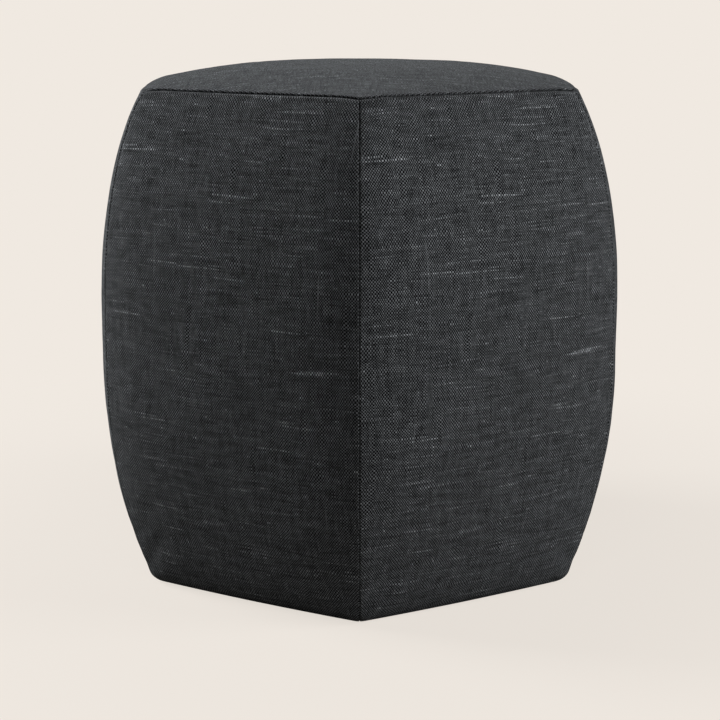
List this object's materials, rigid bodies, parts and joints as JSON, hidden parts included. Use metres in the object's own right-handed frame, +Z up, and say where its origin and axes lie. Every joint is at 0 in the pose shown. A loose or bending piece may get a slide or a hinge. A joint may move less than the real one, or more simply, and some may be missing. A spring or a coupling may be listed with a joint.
{
  "type": "hexagonal ottoman",
  "caption": "Hexagonal stuffed ottoman in linen-look cloth, with sides swollen like a barrel, plain corner seams and a low crowned top, for sitting or resting feet on.",
  "frame": {"origin": "centre of the underside, on the floor", "axes": "+Z up through the middle of the top; a corner seam faces the front, -Y; +X to the right"},
  "size_m": [0.4628, 0.506, 0.4575],
  "materials": {
    "side_cloth": "charcoal linen-look plain weave with slubs",
    "top_cloth": "charcoal linen-look plain weave with slubs",
    "underside_cloth": "plain dark base cloth"
  },
  "bodies": {
    "root": {"side_panel_1": "side_cloth", "side_panel_2": "side_cloth", "side_panel_3": "side_cloth", "side_panel_4": "side_cloth", "side_panel_5": "side_cloth", "side_panel_6": "side_cloth", "top_panel": "top_cloth", "underside_panel": "underside_cloth"}
  },
  "joints": []
}
